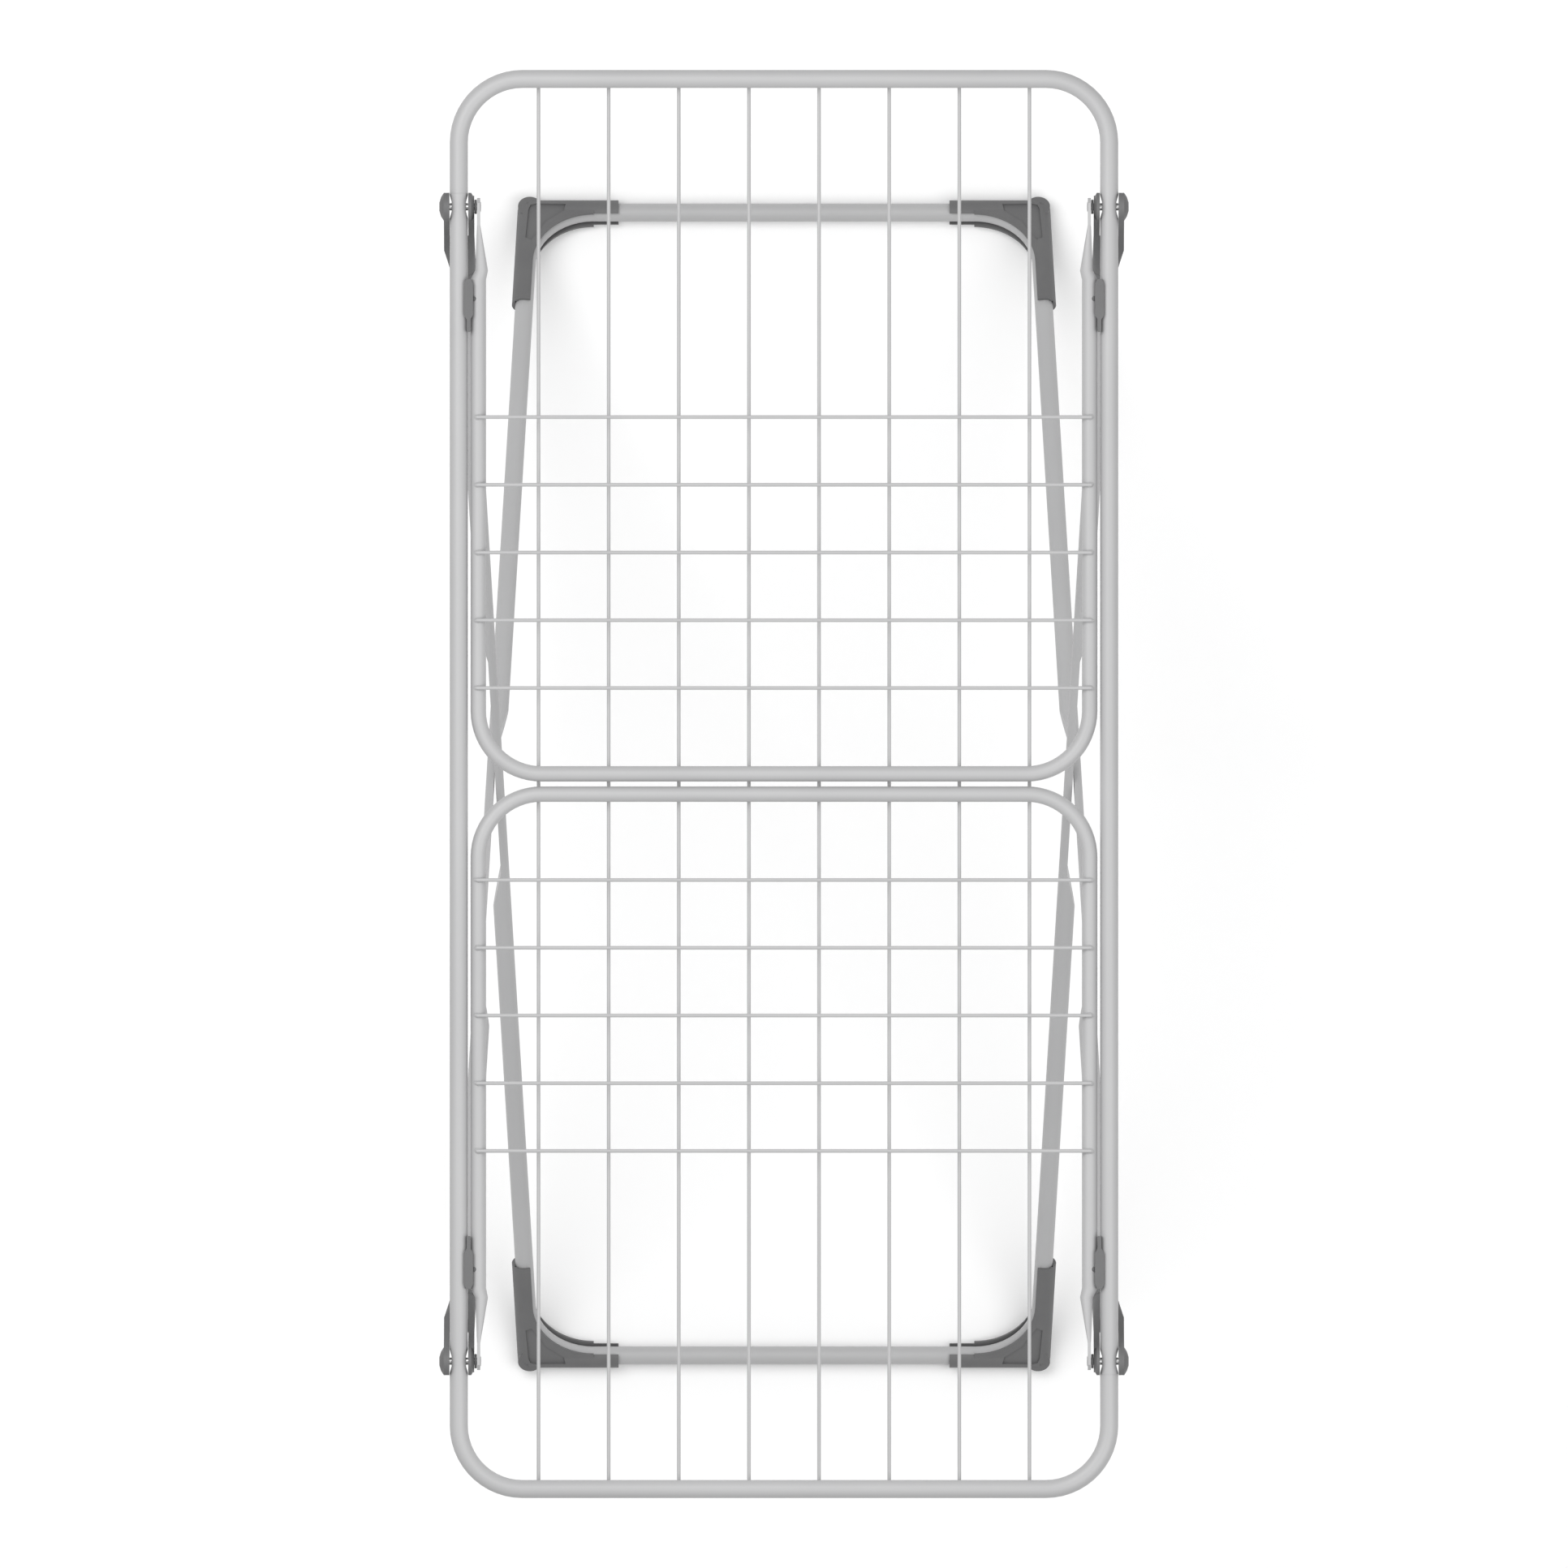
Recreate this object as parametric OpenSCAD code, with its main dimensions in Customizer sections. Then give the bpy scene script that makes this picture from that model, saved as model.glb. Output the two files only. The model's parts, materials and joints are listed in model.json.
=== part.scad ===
// Folding laundry drying rack, standing open with both wings folded in.
// Origin: on the floor under the middle of the rack. +Y runs along the long wires, +Z is up.

/* [Rack frame] */
// Outer width of the frame across its two side tubes
rack_width = 552.8; // [540:0.1:566]
// Outer length of the frame
rack_length = 1181; // [1160:1:1200]
// Outer diameter of the frame tube
frame_tube_d = 15; // [14:0.1:15.4]
// Radius of the frame corners, at the tube's centre line
frame_bend_r = 52.5; // [40:0.5:80]
// Distance of each hinge pin from the middle of the rack
pin_y = 477.3; // [470:0.1:480]

/* [Drying wires] */
// Diameter of every drying wire
wire_d = 3; // [2.4:0.1:3.6]
// Distance between neighbouring long wires
rack_wire_pitch = 58; // [50:0.5:58]
// Distance between neighbouring wires of a wing
wing_wire_pitch = 56; // [48:0.5:57]
// Distance from a hinge pin to the first wire of its wing
wing_wire_first = 173.9; // [160:0.1:180]

/* [Wings] */
// Outer diameter of the wing tube
wing_tube_d = 12.8; // [12:0.1:13]
// Distance from the middle of the rack to the centre line of a wing's side tube
wing_x = 252.76; // [252.5:0.01:253]
// Distance from a hinge pin to the far edge of its wing
wing_reach = 475.3; // [460:0.1:475.5]
// Radius of the wing corners, at the tube's centre line
wing_bend_r = 52; // [40:0.5:70]

/* [Legs] */
// Slope of the open legs below the horizontal, in degrees
leg_angle = 37; // [35:0.5:38]
// Distance of each floor bar from the middle of the rack
foot_y = 478.6; // [470:0.1:485]
// Radius of the bends between leg and floor bar, at the tube's centre line
leg_bend_r = 56; // [52:1:60]
// Distance of the leg tube below its hinge pin, measured across the leg
leg_drop = 19.5; // [19.3:0.1:21]
// Thickness of a leg tube where it is pressed flat to pass the other leg
pressed_t = 6.8; // [6:0.1:7]

/* [Hidden] */
$fn = 48;
steel = "gainsboro";
plastic = "dimgray";

wall = 1;
frame_r = frame_tube_d / 2;
frame_x = rack_width / 2 - frame_r;
frame_end_y = rack_length / 2 - frame_r;
seam_y = 488.5;
seam_gap = 0.1;
pinch_depth = 1.6;
pinch_flat = 4;
pinch_end = 9.8;
weld_depth = 0.1;
wire_r = wire_d / 2;

wing_r = wing_tube_d / 2;
wing_bar_v = wing_reach - wing_r;

pin_r = 3;
pin_bore_r = 3.05;
pin_inner_x = 251.2;
pin_outer_x = 282.5;
pin_head_r = 4.5;
pin_head_t = 0.8;
plate_x = [251.2, 253.8];
spacer_x = [254, 256];
spacer_r = 5.95;
hub_r = 11.6;
arm_t = 4.6;
arm_gap = 0.3;
fork_inner_x = 256.2;
fork_outer_x = 285;

leg_r = 7.5;
leg_bore_r = 7.6;
socket_r = 11;
socket_from = 78;
socket_to = 135;
tube_from = 70;
sleeve_r = 10.3;
foot_flat = 0.6;
leg_run = pin_y + foot_y;
leg_len = round(10 * (leg_run + leg_drop * sin(leg_angle)) / cos(leg_angle)) / 10;
pin_z = leg_len * sin(leg_angle) + leg_drop * cos(leg_angle) + sleeve_r - foot_flat;

// Both legs taper alike from under the frame tubes to their feet, so they cross in one upright
// plane. There each tube is pressed flat on the side that faces the other leg, over the stretch
// [from, to] along the leg, with a ramp at each end, so that the legs pass with a gap.
leg_tilt = 2.65;
leg_slope = tan(leg_tilt);
leg_dir = [-sin(leg_tilt), cos(leg_tilt)];
outer_press = [400, 650];
inner_press = [480, 700];
press_ramp = 40;
lap = 0.3;
lap_step = 0.05;
press_past_axis = leg_r - pressed_t;
bend_x = frame_x - leg_slope * (leg_len - leg_bend_r) - leg_bend_r / cos(leg_tilt);
bend_centre = [round(10 * bend_x) / 10, leg_len - leg_bend_r];
bend_start = bend_centre + leg_bend_r * [cos(leg_tilt), sin(leg_tilt)];

// ---------- shared shapes ----------

// Round bar along +Y from y1 to y2.
module bar_y(r, y1, y2) {
    translate([0, y1, 0]) rotate([-90, 0, 0]) cylinder(h = y2 - y1, r = r);
}

// Round bar along +X from x1 to x2.
module bar_x(r, x1, x2) {
    translate([x1, 0, 0]) rotate([0, 90, 0]) cylinder(h = x2 - x1, r = r);
}

// Quarter bend in the XY plane, centred on the origin, from angle a1 to angle a2.
module bend(big_r, r, a1, a2) {
    rotate([0, 0, a1]) rotate_extrude(angle = a2 - a1, $fn = 96) translate([big_r, 0]) circle(r);
}

// Shape that turns around the X axis; the outline is given as [radius, x].
module turned_about_x(outline) {
    rotate([0, 90, 0]) rotate_extrude() polygon(outline);
}

// Flat prism lying across X, its outline given as [y, z], from x1 to x2.
module prism_x(x1, x2, outline) {
    translate([x1, 0, 0]) rotate([90, 0, 90]) linear_extrude(x2 - x1) polygon(outline);
}

// ---------- rack frame ----------

// Band that pinches a frame tube around the hinge pins, in the XY plane.
module pinch_band(half) {
    steps = [[-seam_y - 60, 0], [-pin_y - pinch_end, 0], [-pin_y - pinch_flat, 1],
        [-pin_y + pinch_flat, 1], [-pin_y + pinch_end, 0], [pin_y - pinch_end, 0],
        [pin_y - pinch_flat, 1], [pin_y + pinch_flat, 1], [pin_y + pinch_end, 0], [seam_y + 60, 0]];
    edge = [for (s = steps) [half - s[1] * pinch_depth, s[0]]];
    back_edge = [for (i = [len(edge) - 1:-1:0]) [-edge[i][0], edge[i][1]]];
    linear_extrude(4 * frame_r, center = true) polygon(concat(edge, back_edge));
}

// Side tube at x = 0, pinched at the pins; half is just over the tube's radius.
module frame_side(r, y1, y2) {
    intersection() {
        bar_y(r, y1, y2);
        pinch_band(r + 0.02);
    }
}

// One J shaped frame tube: long side at +X, end bar at +Y, short side at -X.
module frame_path(r, over) {
    long_end = -seam_y + seam_gap - over;
    short_end = seam_y - over;
    translate([frame_x, 0, 0]) frame_side(r, long_end, frame_end_y - frame_bend_r);
    translate([-frame_x, 0, 0]) frame_side(r, short_end, frame_end_y - frame_bend_r);
    for (s = [-1, 1])
        translate([s * (frame_x - frame_bend_r), frame_end_y - frame_bend_r, 0])
            bend(frame_bend_r, r, s > 0 ? 0 : 90, s > 0 ? 90 : 180);
    translate([0, frame_end_y, 0]) bar_x(r, -frame_x + frame_bend_r, frame_x - frame_bend_r);
}

module frame_tube() {
    color(steel) translate([0, 0, pin_z]) difference() {
        frame_path(frame_r, 0);
        frame_path(frame_r - wall, 1);
        for (s = [-1, 1])
            translate([0, s * pin_y, 0]) bar_x(pin_bore_r, frame_x - 9, frame_x + 9);
    }
}

// Joint sleeve inside the seam of the long side at -Y.
module frame_sleeve() {
    r = frame_r - wall - 0.05;
    color(steel) translate([frame_x, 0, pin_z]) difference() {
        frame_side(r, -seam_y - 25, -seam_y + 30);
        frame_side(r - wall, -seam_y - 26, -seam_y + 31);
        translate([0, -pin_y, 0]) bar_x(pin_bore_r, -9, 9);
    }
}

module rack_wire(i) {
    x = (i - 4.5) * rack_wire_pitch;
    z = pin_z - frame_r - wire_r + weld_depth;
    color(steel) translate([x, 0, z]) bar_y(wire_r, -frame_end_y - 2, frame_end_y + 2);
}

// ---------- hinges ----------

// Corners are numbered 1 right back, 2 left back, 3 left front, 4 right front.
module at_corner(i) {
    sx = (i == 1 || i == 4) ? 1 : -1;
    sy = i < 3 ? 1 : -1;
    scale_x = sx > 0 ? 0 : 1;
    scale_y = sy > 0 ? 0 : 1;
    mirror([scale_x, 0, 0]) mirror([0, scale_y, 0]) translate([0, pin_y, pin_z]) children();
}

module hinge_pin(i) {
    color(steel) at_corner(i) union() {
        bar_x(pin_r, pin_inner_x - pin_head_t / 2, pin_outer_x);
        turned_about_x([[0, pin_inner_x - pin_head_t], [pin_head_r - 1, pin_inner_x - pin_head_t],
            [pin_head_r, pin_inner_x - 0.1], [0, pin_inner_x - 0.1]]);
    }
}

module hinge_spacer(i) {
    color(plastic) at_corner(i) difference() {
        bar_x(spacer_r, spacer_x[0], spacer_x[1]);
        bar_x(pin_bore_r, spacer_x[0] - 1, spacer_x[1] + 1);
    }
}

// ---------- wings ----------

// A wing is drawn with its hinge pins on the X axis, reaching towards +Y.
crimp_neck = 52.5;
crimp_end = 60;

module wing_crimp() {
    neck_x = 250.05;
    neck_r = 5.25;
    plate = [[-7.3, -5], [-7.3, 5], [-3, 10], [16, 10], [16, -10], [-3, -10]];
    prism_x(plate_x[0], plate_x[1], plate);
    hull() {
        prism_x(plate_x[0], plate_x[1], [[15, -10], [15, 10], [16, 10], [16, -10]]);
        for (z = [-1.8, 1.8])
            translate([neck_x, crimp_neck, z]) bar_y(neck_r, 0, 0.5, $fn = 32);
    }
    hull() {
        for (z = [-1.8, 1.8])
            translate([neck_x, crimp_neck, z]) bar_y(neck_r, 0, 0.5, $fn = 32);
        translate([wing_x, crimp_end, 0]) bar_y(wing_r, 0, 0.5, $fn = 32);
    }
}

module wing_path(r, from) {
    side_end = wing_bar_v - wing_bend_r;
    for (s = [-1, 1]) {
        translate([s * wing_x, 0, 0]) bar_y(r, from, side_end);
        translate([s * (wing_x - wing_bend_r), side_end, 0])
            bend(wing_bend_r, r, s > 0 ? 0 : 90, s > 0 ? 90 : 180);
    }
    translate([0, wing_bar_v, 0]) bar_x(r, -wing_x + wing_bend_r, wing_x - wing_bend_r);
}

module wing_tube() {
    color(steel) difference() {
        union() {
            wing_path(wing_r, crimp_end + 0.4);
            wing_crimp();
            mirror([1, 0, 0]) wing_crimp();
        }
        wing_path(wing_r - wall, crimp_end + 2);
        bar_x(pin_bore_r, -260, 260);
        for (s = [-1, 1])
            translate([s * wing_x, pad_peg_v, 0]) rotate([0, s * pad_peg_lean, 0])
                cylinder(h = 10, r = pad_peg_r + 0.05);
    }
}

module wing_wire(i) {
    color(steel) translate([0, wing_wire_first + (i - 1) * wing_wire_pitch, wing_r + wire_r - weld_depth])
        bar_x(wire_r, -wing_x - 1.8, wing_x + 1.8);
}

// Rest pad: clipped on the wing's side tube by a peg, and lying on the frame tube.
pad_x = [257.1, 264.6];
pad_v = [59.8, 93.4];
pad_top = 9.4;
pad_tail_v = 103.5;
pad_peg_v = 76;
pad_peg_r = 2;
pad_peg_lean = 35;

module wing_pad() {
    outline = [[pad_x[0] + 1.8, pad_v[0]], [pad_x[1] - 1.8, pad_v[0]], [pad_x[1], pad_v[0] + 4],
        [pad_x[1], pad_v[1] - 4], [pad_x[1] - 2.2, pad_v[1]], [pad_x[1] - 2.2, pad_tail_v],
        [pad_x[0] + 2.2, pad_tail_v], [pad_x[0] + 2.2, pad_v[1]], [pad_x[0], pad_v[1] - 4],
        [pad_x[0], pad_v[0] + 4]];
    color(plastic) difference() {
        union() {
            translate([0, 0, 3.2]) linear_extrude(pad_top - 3.2) polygon(outline);
            translate([wing_x, pad_peg_v, 0]) rotate([0, pad_peg_lean, 0])
                translate([0, 0, wing_r - 2]) cylinder(h = 4, r = pad_peg_r);
        }
        translate([wing_x, 0, 0]) difference() {
            bar_y(wing_r, pad_v[0] - 5, pad_tail_v + 5);
            translate([0, pad_peg_v, 0]) rotate([0, pad_peg_lean, 0]) cylinder(h = 12, r = pad_peg_r);
        }
        translate([frame_x, 0, 0]) bar_y(frame_r + 0.4, pad_v[0] - 5, pad_tail_v + 5);
    }
}

module place_wing(back) {
    translate([0, 0, pin_z]) rotate([0, 0, back ? 180 : 0]) translate([0, -pin_y, 0]) children();
}

// ---------- legs ----------

// A leg is drawn lying in the XY plane: distance along the leg is +Y, its hinge pins are leg_drop
// above the tube's plane at y = 0, and the floor bar is at y = leg_len.

// Point on the centre line of the leg's right side tube, at distance u
function side_point(u) = [bend_start[0] - leg_slope * (u - bend_start[1]), u];
leg_corner = side_point(leg_len);

// Straight round stretch of the right side tube from distance u1 to u2.
module stretch(r, u1, u2) {
    translate(bend_centre) rotate([0, 0, leg_tilt]) translate([leg_bend_r, 0, 0])
        bar_y(r, (u1 - bend_start[1]) / cos(leg_tilt), (u2 - bend_start[1]) / cos(leg_tilt));
}

// Everything on the outer (facing = 1) or inner (facing = -1) side of the pressed flat.
module press_band(press, facing, inset) {
    far = 20;
    rim = leg_r + 0.15;
    marks = [[0, rim], [press[0] - press_ramp, rim], [press[0], -press_past_axis],
        [press[1], -press_past_axis],
        [press[1] + press_ramp, rim], [leg_len, rim]];
    edge = [for (k = marks) [side_point(k[0])[0] + facing * (inset - k[1]), k[0]]];
    linear_extrude(4 * leg_r, center = true)
        polygon(concat(edge, [[side_point(leg_len)[0] + facing * far, leg_len],
            [side_point(0)[0] + facing * far, 0]]));
}

module leg_side(press, facing, r, from, step) {
    intersection() {
        stretch(r + step, from, bend_start[1] + lap);
        press_band(press, facing, leg_r - r);
    }
    translate(bend_centre) rotate([0, 0, leg_tilt]) bend(leg_bend_r, r, 0, 90 - leg_tilt);
}

// The straight stretches' radius differs by step, so that they lap cleanly into the bends.
module leg_path(press, facing, r, from, step) {
    leg_side(press, facing, r, from, step);
    mirror([1, 0, 0]) leg_side(press, facing, r, from, step);
    translate([0, leg_len, 0]) bar_x(r + step, -bend_centre[0] - lap, bend_centre[0] + lap);
}

module leg_tube(press, facing) {
    color(steel) difference() {
        leg_path(press, facing, leg_r, tube_from, lap_step);
        leg_path(press, facing, leg_r - wall, tube_from - 1, -lap_step);
    }
}

// Fork: an ear on each side of the frame tube, both arms meeting in the socket for the leg tube.
module leg_fork() {
    inner_x = [fork_inner_x, fork_inner_x + arm_t + arm_gap];
    outer_x = [frame_x + frame_r + arm_gap, frame_x + frame_r + arm_gap + arm_t];
    arm = [[-4, leg_drop - 10], [8, leg_drop + 8.3], [30, 14.5], [52, 10], [52, -8], [38, -8]];
    color(plastic) difference() {
        union() {
            translate([0, 0, leg_drop]) turned_about_x([[0, outer_x[0]], [hub_r, outer_x[0]],
                [hub_r, outer_x[1]], [8, fork_outer_x - 1.4], [3.5, fork_outer_x], [0, fork_outer_x]]);
            translate([0, 0, leg_drop]) turned_about_x([[0, inner_x[0]], [7.5, inner_x[0]],
                [hub_r, inner_x[0] + 2.4], [hub_r, inner_x[1]], [0, inner_x[1]]]);
            prism_x(outer_x[0], outer_x[1], arm);
            prism_x(inner_x[0], inner_x[1], arm);
            hull() {
                prism_x(inner_x[0], outer_x[1], [[50, 10], [52, 10], [52, -8], [50, -8]]);
                translate([side_point(socket_from)[0], socket_from, 0]) bar_y(socket_r - 0.5, 0, 2, $fn = 32);
            }
            stretch(socket_r, socket_from, socket_to);
        }
        stretch(leg_bore_r, tube_from, socket_to + 2);
        translate([0, 0, leg_drop]) bar_x(pin_bore_r, fork_inner_x - 1, pin_outer_x + 0.3);
    }
}

// Area on the inner side of a leg's right half, its edge moved out from the tube's centre line.
module inner_area(out_side, out_bar) {
    r = leg_bend_r + out_side;
    c = [bend_centre[0], leg_len + out_bar - r];
    start = c + r * [cos(leg_tilt), sin(leg_tilt)];
    translate(c) circle(r, $fn = 96);
    polygon([[0, 900], [0, c[1] + r], [c[0], c[1] + r], c, start, start - leg_dir * 150]);
}

// Foot corner: a C shaped channel around the floor bend, with a square outer corner and a
// triangular recess on its upper and lower face.
module foot_corner() {
    channel_half = leg_r + 0.15;
    channel_step = 5.1;
    mouth_half = 5.85;
    plate_half = 9.5;
    corner_half = 8.9;
    past_corner = 1.5;
    recess_floor = 8.3;
    side_len = 98;
    bar_end_x = 138.6;
    recess = [[-30, 1.4], [-28.6, -5], [-13.6, -16.4], [-9.2, -24.2], [-1.2, -36], [3.6, -34], [1.2, -4],
        [-0.6, 0.4], [-4.8, 1.9]];
    difference() {
        union() {
            stretch(sleeve_r, leg_len - side_len, leg_len + past_corner);
            translate([0, leg_len, 0]) bar_x(sleeve_r, bar_end_x, leg_corner[0] + past_corner);
            translate([leg_corner[0], leg_len, 0]) cylinder(h = 2 * corner_half, r = 9.9, center = true);
            linear_extrude(2 * plate_half, center = true)
                polygon([leg_corner, side_point(bend_centre[1]), bend_centre, [bend_centre[0], leg_len]]);
        }
        linear_extrude(2 * channel_half, center = true) inner_area(channel_step, channel_step);
        linear_extrude(2 * mouth_half, center = true) inner_area(channel_half, channel_half);
        linear_extrude(4 * sleeve_r, center = true) inner_area(-5.1, -8);
        for (s = [-1, 1])
            translate([leg_corner[0], leg_len, s * (recess_floor + 5)]) linear_extrude(10, center = true)
                polygon(recess);
    }
}

module place_leg(inner) {
    rotate([0, 0, inner ? 180 : 0]) translate([0, -pin_y, pin_z]) rotate([-leg_angle, 0, 0])
        translate([0, 0, -leg_drop]) children();
}

// A foot corner in its place, cut flat where it stands on the floor.
module standing_foot(inner, right) {
    color(plastic) difference() {
        place_leg(inner) mirror([right ? 0 : 1, 0, 0]) foot_corner();
        translate([-400, -900, -50]) cube([800, 1800, 50]);
    }
}

// ---------- the assembly ----------

frame_tube();  // frame_tube_right
rotate([0, 0, 180]) frame_tube();  // frame_tube_left
frame_sleeve();  // frame_sleeve_right
rotate([0, 0, 180]) frame_sleeve();  // frame_sleeve_left
for (i = [1:8])
    rack_wire(i);
for (i = [1:4]) {
    hinge_pin(i);
    hinge_spacer(i);
}
place_wing(true) wing_tube();  // back_wing_tube
place_wing(false) wing_tube();  // front_wing_tube
for (i = [1:5]) {
    place_wing(true) wing_wire(i);
    place_wing(false) wing_wire(i);
}
place_wing(true) wing_pad();  // back_wing_pad_left
place_wing(true) mirror([1, 0, 0]) wing_pad();  // back_wing_pad_right
place_wing(false) wing_pad();  // front_wing_pad_right
place_wing(false) mirror([1, 0, 0]) wing_pad();  // front_wing_pad_left
place_leg(false) leg_tube(outer_press, 1);  // outer_leg_tube
place_leg(true) leg_tube(inner_press, -1);  // inner_leg_tube
color(plastic) place_leg(false) leg_fork();  // outer_leg_fork_right
color(plastic) place_leg(false) mirror([1, 0, 0]) leg_fork();  // outer_leg_fork_left
color(plastic) place_leg(true) leg_fork();  // inner_leg_fork_left
color(plastic) place_leg(true) mirror([1, 0, 0]) leg_fork();  // inner_leg_fork_right
standing_foot(false, true);  // outer_leg_foot_right
standing_foot(false, false);  // outer_leg_foot_left
standing_foot(true, true);  // inner_leg_foot_left
standing_foot(true, false);  // inner_leg_foot_right
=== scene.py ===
"""Looks of the folding laundry drying rack: powder-coated tube and wire, moulded grey plastic."""

import json
import math

import bmesh
import bpy
import numpy as np
from mathutils import Matrix, Vector


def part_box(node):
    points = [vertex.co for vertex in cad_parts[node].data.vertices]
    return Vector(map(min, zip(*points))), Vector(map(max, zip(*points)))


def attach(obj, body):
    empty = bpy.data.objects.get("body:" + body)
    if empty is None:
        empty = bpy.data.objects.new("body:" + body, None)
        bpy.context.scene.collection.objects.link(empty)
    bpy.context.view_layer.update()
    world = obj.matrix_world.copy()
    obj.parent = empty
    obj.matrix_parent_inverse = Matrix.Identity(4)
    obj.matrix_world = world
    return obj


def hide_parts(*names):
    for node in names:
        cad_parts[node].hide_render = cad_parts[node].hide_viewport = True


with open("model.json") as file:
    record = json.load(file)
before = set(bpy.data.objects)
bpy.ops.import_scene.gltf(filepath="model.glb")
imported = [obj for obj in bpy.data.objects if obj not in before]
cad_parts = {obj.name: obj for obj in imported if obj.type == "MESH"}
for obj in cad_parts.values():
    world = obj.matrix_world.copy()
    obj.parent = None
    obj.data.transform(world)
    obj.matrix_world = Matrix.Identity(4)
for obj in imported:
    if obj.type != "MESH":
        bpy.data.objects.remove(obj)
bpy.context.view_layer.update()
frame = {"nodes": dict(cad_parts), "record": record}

MM = 0.001
NODE_SLOT = {s["node"]: s["material_slot"] for s in frame["record"]["subparts"]}
NODE_BODY = {n: b for b, names in frame["record"]["behaviour"]["bodies"].items() for n in names}
JOINTS = {j["name"]: j for j in frame["record"]["behaviour"]["joints"]}
PIN = Vector(JOINTS["back_wing_hinge"]["pos_m"])


# ---------- materials ----------

def new_material(name):
    """A material with its Principled shader, node tree and object coordinates."""
    material = bpy.data.materials.new(name)
    material.use_nodes = True
    tree = material.node_tree
    shader = tree.nodes["Principled BSDF"]
    coords = tree.nodes.new("ShaderNodeTexCoord")
    return material, tree, shader, coords.outputs["Object"]


def noise(tree, vector, scale, detail=3.0, roughness=0.5):
    node = tree.nodes.new("ShaderNodeTexNoise")
    node.inputs["Scale"].default_value = scale
    node.inputs["Detail"].default_value = detail
    node.inputs["Roughness"].default_value = roughness
    tree.links.new(vector, node.inputs["Vector"])
    return node.outputs["Fac"]


def ramp(tree, value, stops):
    """Colour ramp with stops [(position, grey or colour), ...]."""
    node = tree.nodes.new("ShaderNodeValToRGB")
    elements = node.color_ramp.elements
    while len(elements) < len(stops):
        elements.new(0.5)
    for element, (position, colour) in zip(elements, stops):
        rgb = colour if isinstance(colour, tuple) else (colour,) * 3
        element.position = position
        element.color = (*rgb, 1.0)
    tree.links.new(value, node.inputs["Fac"])
    return node.outputs["Color"]


def bump(tree, shader, height, strength, distance):
    node = tree.nodes.new("ShaderNodeBump")
    node.inputs["Strength"].default_value = strength
    node.inputs["Distance"].default_value = distance
    tree.links.new(height, node.inputs["Height"])
    tree.links.new(node.outputs["Normal"], shader.inputs["Normal"])


def powder_coat(name, light, dark):
    """Satin powder coat: slight orange peel, and faint clouding from uneven film thickness."""
    material, tree, shader, where = new_material(name)
    cloud = noise(tree, where, 9.0, 4.0)
    tree.links.new(ramp(tree, cloud, [(0.3, dark), (0.7, light)]), shader.inputs["Base Color"])
    peel = noise(tree, where, 650.0, 2.0)
    tree.links.new(ramp(tree, peel, [(0.3, 0.40), (0.7, 0.52)]), shader.inputs["Roughness"])
    bump(tree, shader, peel, 0.10, 0.0002)
    shader.inputs["Specular IOR Level"].default_value = 0.45
    shader.inputs["Coat Weight"].default_value = 0.08
    shader.inputs["Coat Roughness"].default_value = 0.25
    return material


def moulded_plastic(name, light, dark):
    """Fine spark-eroded mould texture with faint flow marks."""
    material, tree, shader, where = new_material(name)
    flow = noise(tree, where, 38.0, 5.0, 0.6)
    tree.links.new(ramp(tree, flow, [(0.3, dark), (0.7, light)]), shader.inputs["Base Color"])
    grain = noise(tree, where, 1900.0, 3.0, 0.65)
    tree.links.new(ramp(tree, grain, [(0.3, 0.50), (0.7, 0.66)]), shader.inputs["Roughness"])
    bump(tree, shader, grain, 0.22, 0.00015)
    shader.inputs["Specular IOR Level"].default_value = 0.4
    return material


def zinc_steel(name):
    """Bright zinc plating with a fine turned grain."""
    material, tree, shader, where = new_material(name)
    grain = noise(tree, where, 900.0, 4.0, 0.7)
    tree.links.new(ramp(tree, grain, [(0.3, 0.50), (0.7, 0.62)]), shader.inputs["Base Color"])
    tree.links.new(ramp(tree, grain, [(0.3, 0.28), (0.7, 0.42)]), shader.inputs["Roughness"])
    bump(tree, shader, grain, 0.15, 0.0001)
    shader.inputs["Metallic"].default_value = 1.0
    return material


MATERIALS = {
    "frame_paint": powder_coat("frame_paint", (0.412, 0.412, 0.415), (0.392, 0.392, 0.396)),
    "wire_paint": powder_coat("wire_paint", (0.418, 0.418, 0.420), (0.396, 0.396, 0.400)),
    "grey_plastic": moulded_plastic("grey_plastic", (0.134, 0.134, 0.135), (0.120, 0.120, 0.122)),
    "pin_steel": zinc_steel("pin_steel"),
}


# ---------- pieces ----------

def finish_piece(piece, slot, body, *nodes):
    """Material, body and the CAD nodes that the piece stands for."""
    piece.data.materials.clear()
    piece.data.materials.append(MATERIALS[slot])
    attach(piece, body)
    if nodes:
        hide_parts(*nodes)


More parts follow.
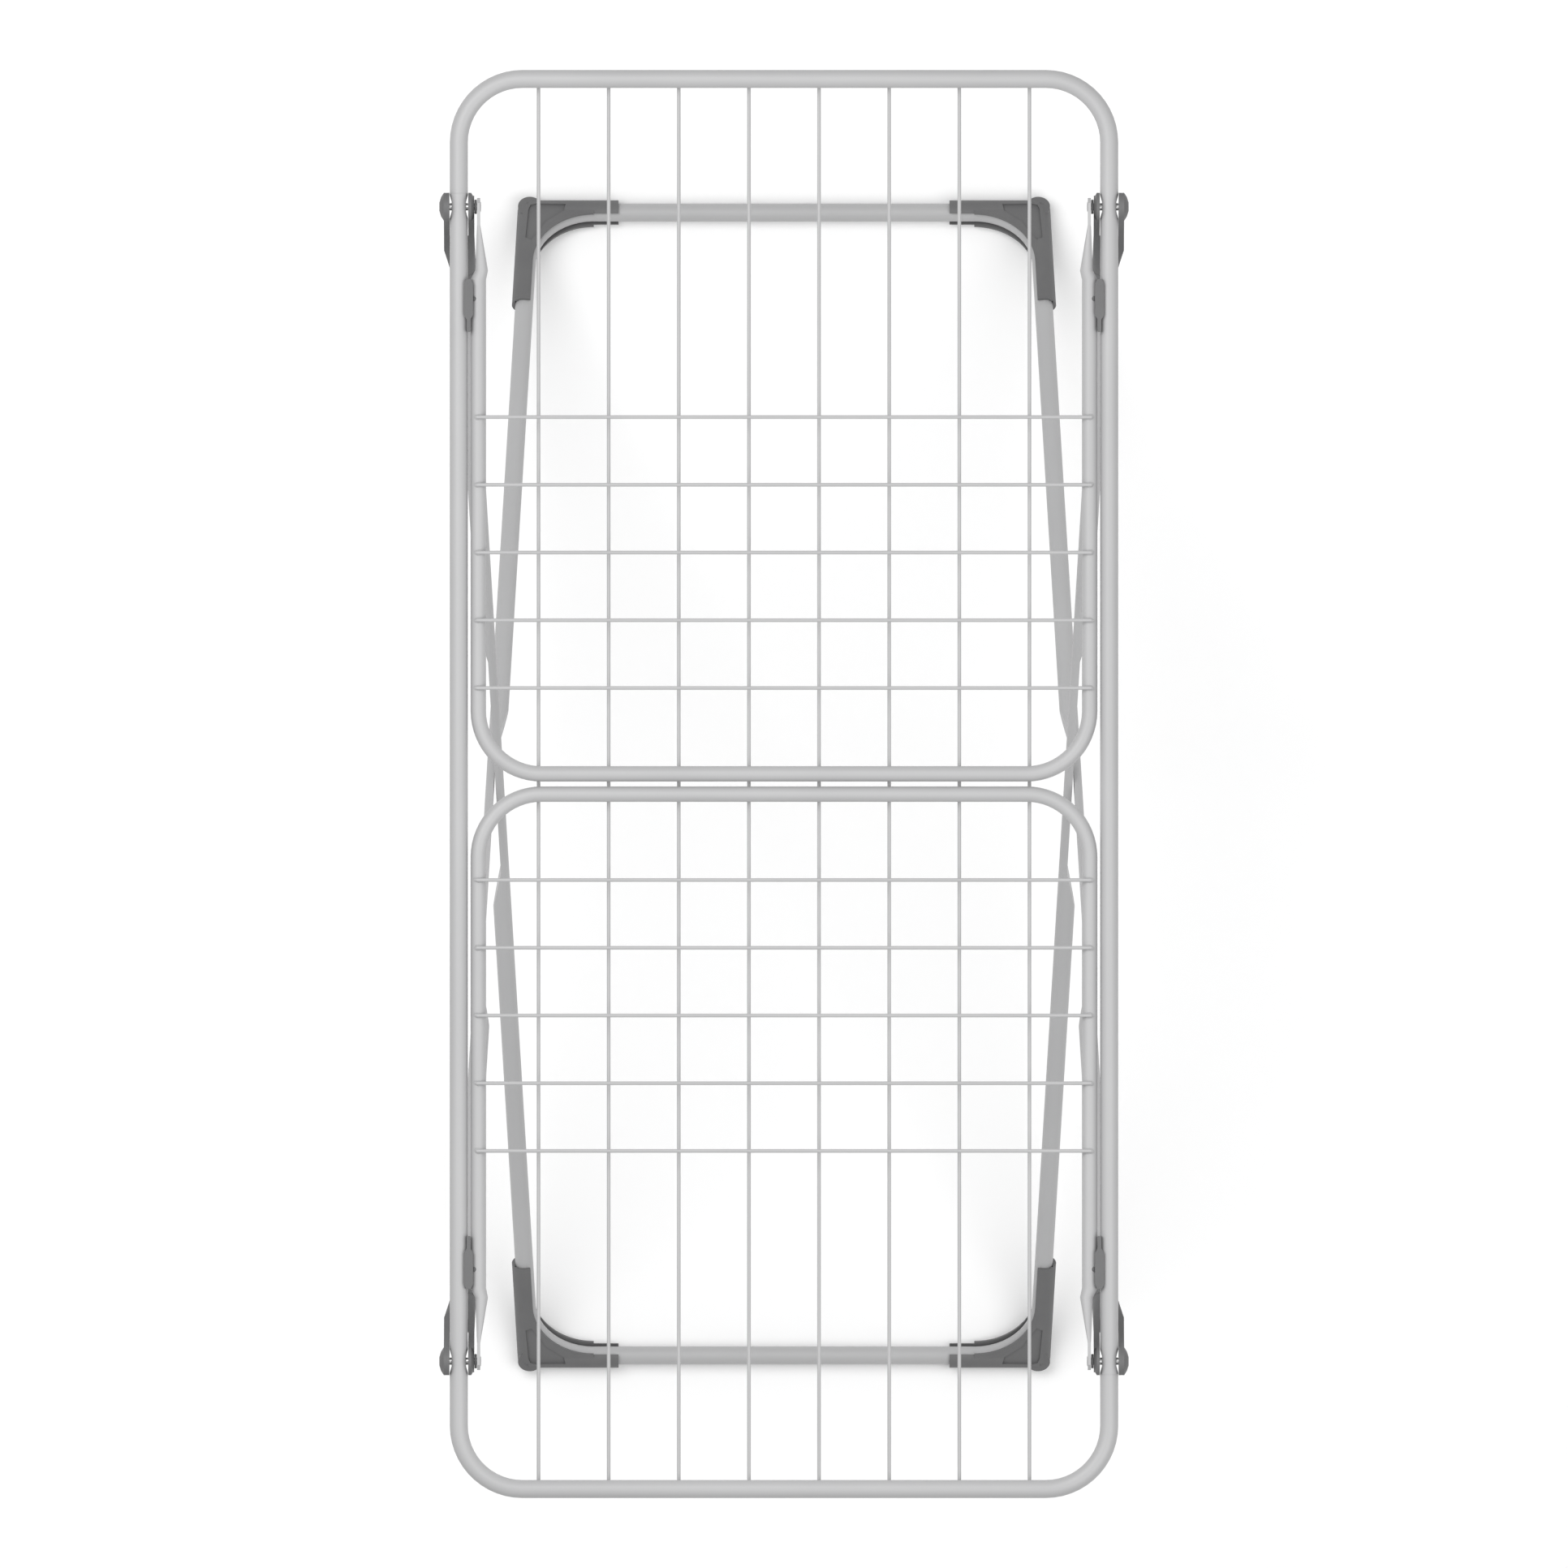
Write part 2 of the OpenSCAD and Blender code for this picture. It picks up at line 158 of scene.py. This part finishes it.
def refined(node, edge_radius):
    """A copy of a CAD node's surface, welded and shaded smooth, its edges softened if a radius is given."""
    weld_distance = 0.004 * MM
    flat_angle, sharp_angle, bevel_angle = (math.radians(a) for a in (0.3, 32, 40))
    mesh = frame["nodes"][node].data.copy()
    piece = bpy.data.objects.new(node + ".skin", mesh)
    bpy.context.scene.collection.objects.link(piece)
    work = bmesh.new()
    work.from_mesh(mesh)
    bmesh.ops.remove_doubles(work, verts=work.verts, dist=weld_distance)
    bmesh.ops.dissolve_limit(work, angle_limit=flat_angle, verts=work.verts, edges=work.edges)
    work.to_mesh(mesh)
    work.free()
    if mesh.has_custom_normals:
        mesh.attributes.remove(mesh.attributes["custom_normal"])
    mesh.shade_smooth()
    mesh.set_sharp_from_angle(angle=sharp_angle)
    if edge_radius:
        soften = piece.modifiers.new("edges", "BEVEL")
        soften.width = edge_radius
        soften.segments = 3
        soften.limit_method = "ANGLE"
        soften.angle_limit = bevel_angle
        soften.harden_normals = True
        soften.use_clamp_overlap = True
    finish_piece(piece, NODE_SLOT[node], NODE_BODY[node], node)


# Radius that softens the edges of each slot's pieces
EDGE = {"frame_paint": 0.0, "wire_paint": 0.35 * MM, "grey_plastic": 0.45 * MM, "pin_steel": 0.25 * MM}
for name, slot in NODE_SLOT.items():
    refined(name, EDGE[slot])


# A weld bead: its length along the wire, its width, half its height, and how much nearer to the tube
# it sits than halfway between the wire's axis and the tube's face
BEAD_LENGTH = 6.5 * MM
BEAD_WIDTH = 4.4 * MM
BEAD_HALF_HEIGHT = 0.9 * MM
BEAD_OFFSET = 0.35 * MM

# Distance of each joint from the wire's end, and from the tubes' middle to the face that it lies on
RACK_JOINT_INSET = 2 * MM
WING_JOINT_INSET = 1.8 * MM
RACK_TUBE_RADIUS = 7.5 * MM
WING_TUBE_RADIUS = 6.4 * MM


def weld_bead(name, body, place, along):
    """A small fillet of weld metal under the paint: a low lens with an uneven rim."""
    rng = np.random.default_rng(sum(ord(c) for c in name))
    work = bmesh.new()
    bmesh.ops.create_uvsphere(work, u_segments=16, v_segments=10, radius=1.0)
    wobble = rng.uniform(0, 2 * math.pi, 3)
    for v in work.verts:
        turn = math.atan2(v.co.y, v.co.x)
        rim = 1 + 0.10 * math.sin(2 * turn + wobble[0]) + 0.06 * math.sin(3 * turn + wobble[1])
        v.co.x *= rim * BEAD_LENGTH / 2
        v.co.y *= rim * BEAD_WIDTH / 2
        v.co.z *= BEAD_HALF_HEIGHT
    mesh = bpy.data.meshes.new(name)
    work.to_mesh(mesh)
    work.free()
    mesh.shade_smooth()
    up = Vector((0, 0, 1))
    facing = Matrix((along, up.cross(along), up)).transposed().to_4x4()
    mesh.transform(Matrix.Translation(place) @ facing)
    piece = bpy.data.objects.new(name, mesh)
    bpy.context.scene.collection.objects.link(piece)
    finish_piece(piece, "wire_paint", body)


def weld_all_wires():
    """A bead under the paint wherever a wire's end lies on its tube."""
    for node, body in NODE_BODY.items():
        if "_wire_" not in node:
            continue
        low, high = (Vector(c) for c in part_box(node))
        middle = (low + high) / 2
        if body == "rack":
            along = Vector((0, 1, 0))
            spots = [(middle.x, y) for y in (low.y + RACK_JOINT_INSET, high.y - RACK_JOINT_INSET)]
            z = (middle.z + PIN.z - RACK_TUBE_RADIUS) / 2 + BEAD_OFFSET
        else:
            along = Vector((1, 0, 0))
            spots = [(x, middle.y) for x in (low.x + WING_JOINT_INSET, high.x - WING_JOINT_INSET)]
            z = (middle.z + PIN.z + WING_TUBE_RADIUS) / 2 - BEAD_OFFSET
        for k, (x, y) in enumerate(spots):
            weld_bead(f"{node}.weld_{k + 1}", body, Vector((x, y, z)), along)


weld_all_wires()


# ---------- floor, light and camera ----------

def pale_floor():
    half = 30.0
    corners = [(-half, -half, 0), (half, -half, 0), (half, half, 0), (-half, half, 0)]
    mesh = bpy.data.meshes.new("floor")
    mesh.from_pydata(corners, [], [(0, 1, 2, 3)])
    floor = bpy.data.objects.new("floor", mesh)
    bpy.context.scene.collection.objects.link(floor)
    material, tree, shader, where = new_material("floor_paint")
    cloud = noise(tree, where, 1.5, 2.0)
    tree.links.new(ramp(tree, cloud, [(0.3, 0.90), (0.7, 0.92)]), shader.inputs["Base Color"])
    shader.inputs["Roughness"].default_value = 0.9
    shader.inputs["Specular IOR Level"].default_value = 0.0
    mesh.materials.append(material)


def soft_light():
    """White surroundings, and two large lamps high over the rack, aimed at a point below its middle."""
    lamp_height, lamp_size = 4.0, 3.2
    aim = Vector((0, 0, 0.5))
    world = bpy.data.worlds.new("studio")
    bpy.context.scene.world = world
    world.use_nodes = True
    sky = world.node_tree.nodes["Background"]
    sky.inputs["Color"].default_value = (1.0, 1.0, 1.0, 1.0)
    sky.inputs["Strength"].default_value = 0.58
    for name, x, y, power in (("key", -1.4, 1.2, 92.0), ("fill", 1.6, -1.0, 62.0)):
        lamp = bpy.data.lights.new(name, "AREA")
        lamp.shape = "DISK"
        lamp.size = lamp_size
        lamp.energy = power
        holder = bpy.data.objects.new(name, lamp)
        holder.location = (x, y, lamp_height)
        holder.rotation_euler = (aim - holder.location).to_track_quat("-Z", "Y").to_euler()
        bpy.context.scene.collection.objects.link(holder)


def top_camera():
    """Looks straight down from far away; the view is view_width wide at the level of the rack."""
    view_width = 1.2966
    lens, sensor = 1600.0, 36.0
    height = view_width * lens / sensor
    camera = bpy.data.cameras.new("camera")
    camera.lens = lens
    camera.sensor_width = sensor
    camera.clip_start = 1.0
    camera.clip_end = 200.0
    holder = bpy.data.objects.new("camera", camera)
    holder.location = (0.0, 0.0, PIN.z + height)
    bpy.context.scene.collection.objects.link(holder)
    bpy.context.scene.camera = holder


pale_floor()
soft_light()
top_camera()
bpy.context.scene.view_settings.view_transform = "Standard"
